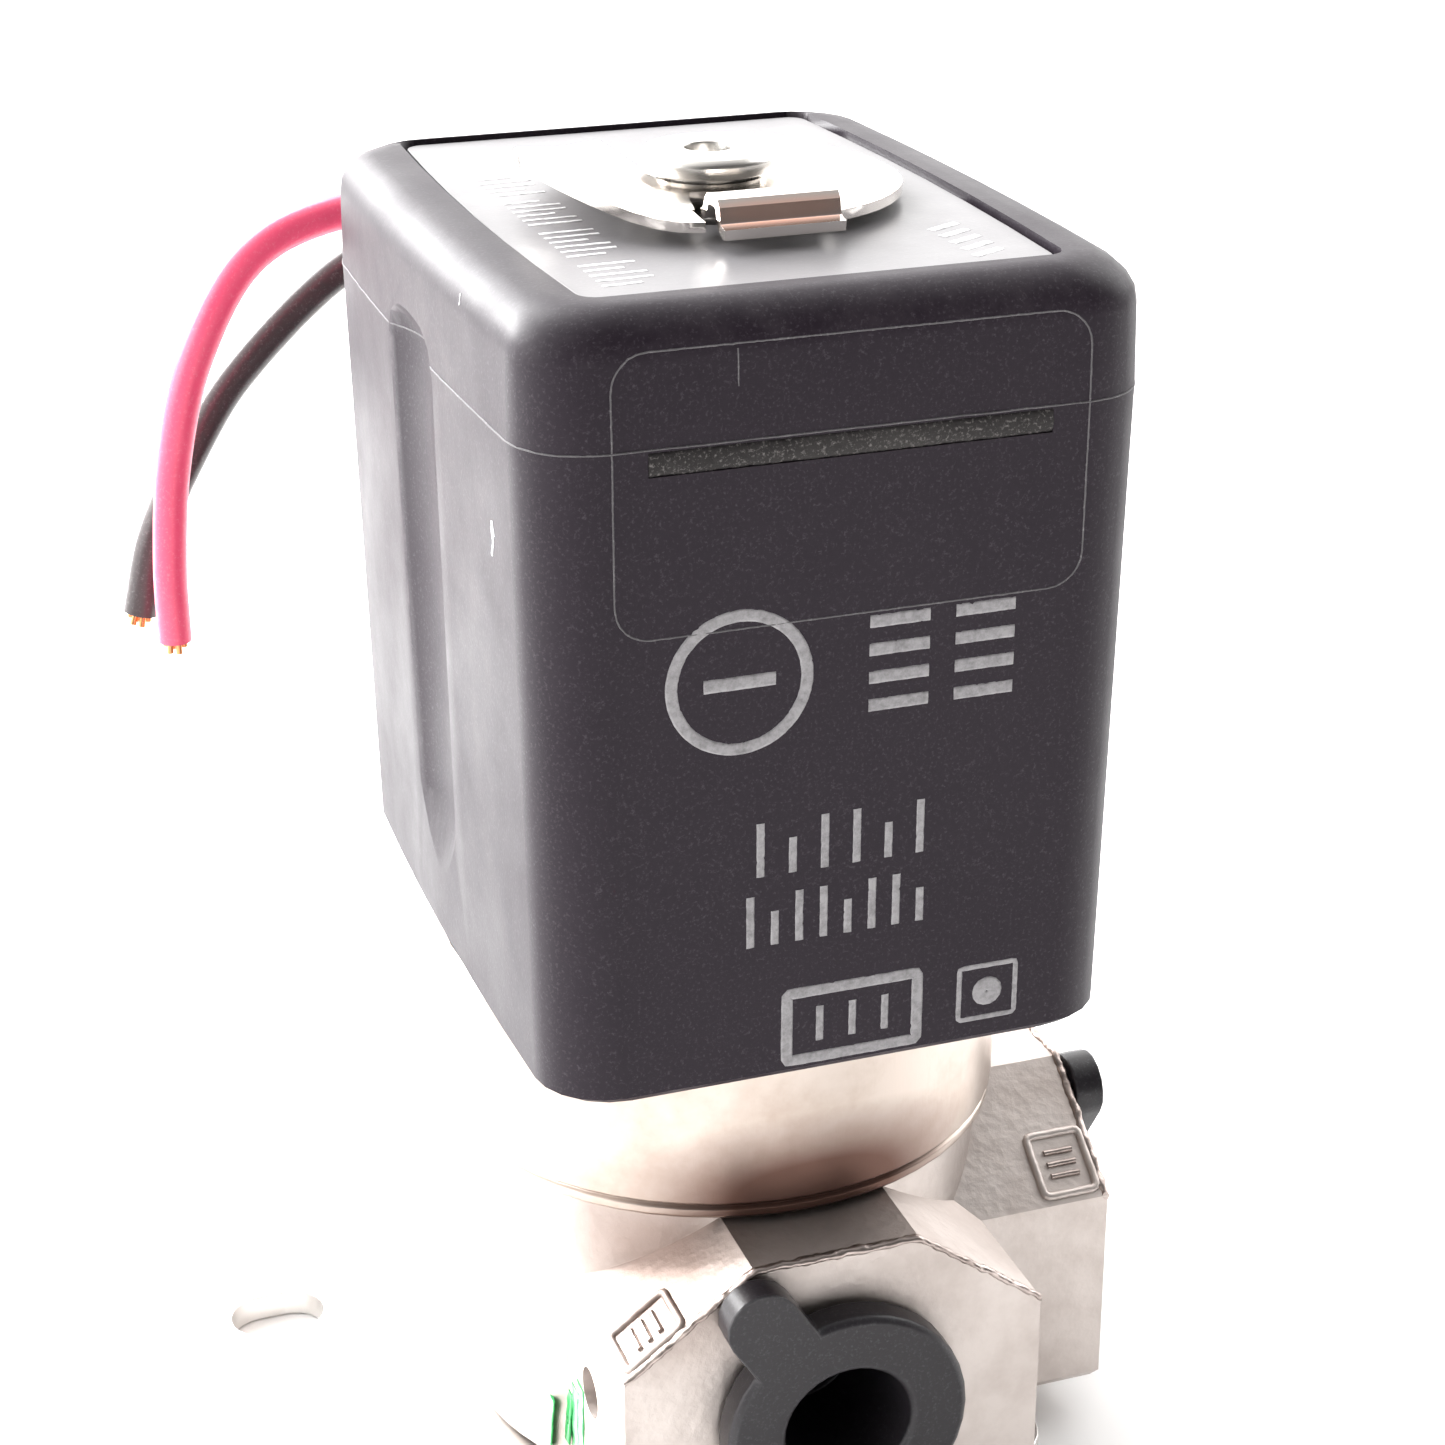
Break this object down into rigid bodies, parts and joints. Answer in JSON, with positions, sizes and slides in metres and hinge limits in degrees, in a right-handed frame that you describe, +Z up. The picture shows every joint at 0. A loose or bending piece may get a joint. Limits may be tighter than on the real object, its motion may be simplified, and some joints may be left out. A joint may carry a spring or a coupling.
{
  "type": "solenoid valve",
  "caption": "Direct-acting three-port solenoid valve: moulded block coil held by a spring clip on a turned collar, cast body with capped ports and a foot bracket.",
  "frame": {"origin": "on the coil axis at the bracket's standing face", "axes": "+Z up along the coil axis; -Y out of port 2; +X out of port 3; +Y out of port 1 and the leads"},
  "size_m": [0.0502, 0.0519, 0.0725],
  "materials": {
    "black_moulding": "matt moulded black with a faint violet cast",
    "plate_film": "satin dark film",
    "stainless": "bright stainless",
    "core_steel": "turned magnetic steel",
    "plated_steel": "zinc-plated strip",
    "cast_metal": "satin casting with machined port faces",
    "turned_collar": "satin turned metal",
    "copper_wire": "enamelled copper winding",
    "bobbin_plastic": "natural moulded plastic",
    "seal_rubber": "matt black rubber",
    "cap_plastic": "soft black plastic",
    "red_jacket": "red wire jacket",
    "black_jacket": "black wire jacket",
    "zinc_plate": "bright zinc plate"
  },
  "bodies": {
    "valve": {"valve_body": "cast_metal", "bonnet_collar": "turned_collar", "core_tube": "stainless", "fixed_core": "core_steel", "tube_o_ring": "seal_rubber", "upper_seat": "stainless", "lower_seat": "stainless", "bottom_plug": "turned_collar", "plug_o_ring": "seal_rubber", "mounting_bracket": "zinc_plate", "bracket_screw_front": "zinc_plate", "bracket_screw_back": "zinc_plate", "return_spring": "stainless", "poppet_spring": "stainless"},
    "coil": {"coil_housing": "black_moulding", "name_plate": "plate_film", "coil_bobbin": "bobbin_plastic", "coil_winding": "copper_wire", "magnet_yoke": "plated_steel", "flux_plate": "plated_steel", "lead_grommet": "seal_rubber", "lead_red": "red_jacket", "lead_black": "black_jacket"},
    "clip": {"retaining_clip": "stainless"},
    "armature": {"armature": "core_steel", "armature_seal": "seal_rubber"},
    "push_rod": {"push_rod": "stainless"},
    "poppet": {"poppet": "seal_rubber"},
    "cap_front": {"dust_plug_front": "cap_plastic"},
    "cap_right": {"dust_plug_right": "cap_plastic"},
    "cap_back": {"dust_plug_back": "cap_plastic"}
  },
  "joints": [
    {"name": "coil_turn", "type": "hinge", "parent": "valve", "child": "coil", "pos_m": [0, 0, 0.05], "axis": [0, 0, 1], "range_deg": [-180, 180]},
    {"name": "clip_slide", "type": "slide", "parent": "valve", "child": "clip", "axis": [0, -1, 0], "range_m": [0, 0.02]},
    {"name": "armature_lift", "type": "slide", "parent": "valve", "child": "armature", "axis": [0, 0, 1], "range_m": [0, 0.0008], "stiffness_N_per_m": 400, "springref_m": -0.002, "deforming": ["return_spring"]},
    {"name": "rod_lift", "type": "slide", "parent": "valve", "child": "push_rod", "axis": [0, 0, 1], "range_m": [0, 0.0008]},
    {"name": "poppet_lift", "type": "slide", "parent": "valve", "child": "poppet", "axis": [0, 0, 1], "range_m": [0, 0.0008], "deforming": ["poppet_spring"]},
    {"name": "cap_front_pull", "type": "slide", "parent": "valve", "child": "cap_front", "axis": [0, -1, 0], "range_m": [0, 0.012]},
    {"name": "cap_right_pull", "type": "slide", "parent": "valve", "child": "cap_right", "axis": [1, 0, 0], "range_m": [0, 0.012]},
    {"name": "cap_back_pull", "type": "slide", "parent": "valve", "child": "cap_back", "axis": [0, 1, 0], "range_m": [0, 0.012]}
  ],
  "couplings": [
    {"joint": "rod_lift", "follows": "armature_lift", "ratio": 1},
    {"joint": "poppet_lift", "follows": "armature_lift", "ratio": 1}
  ]
}
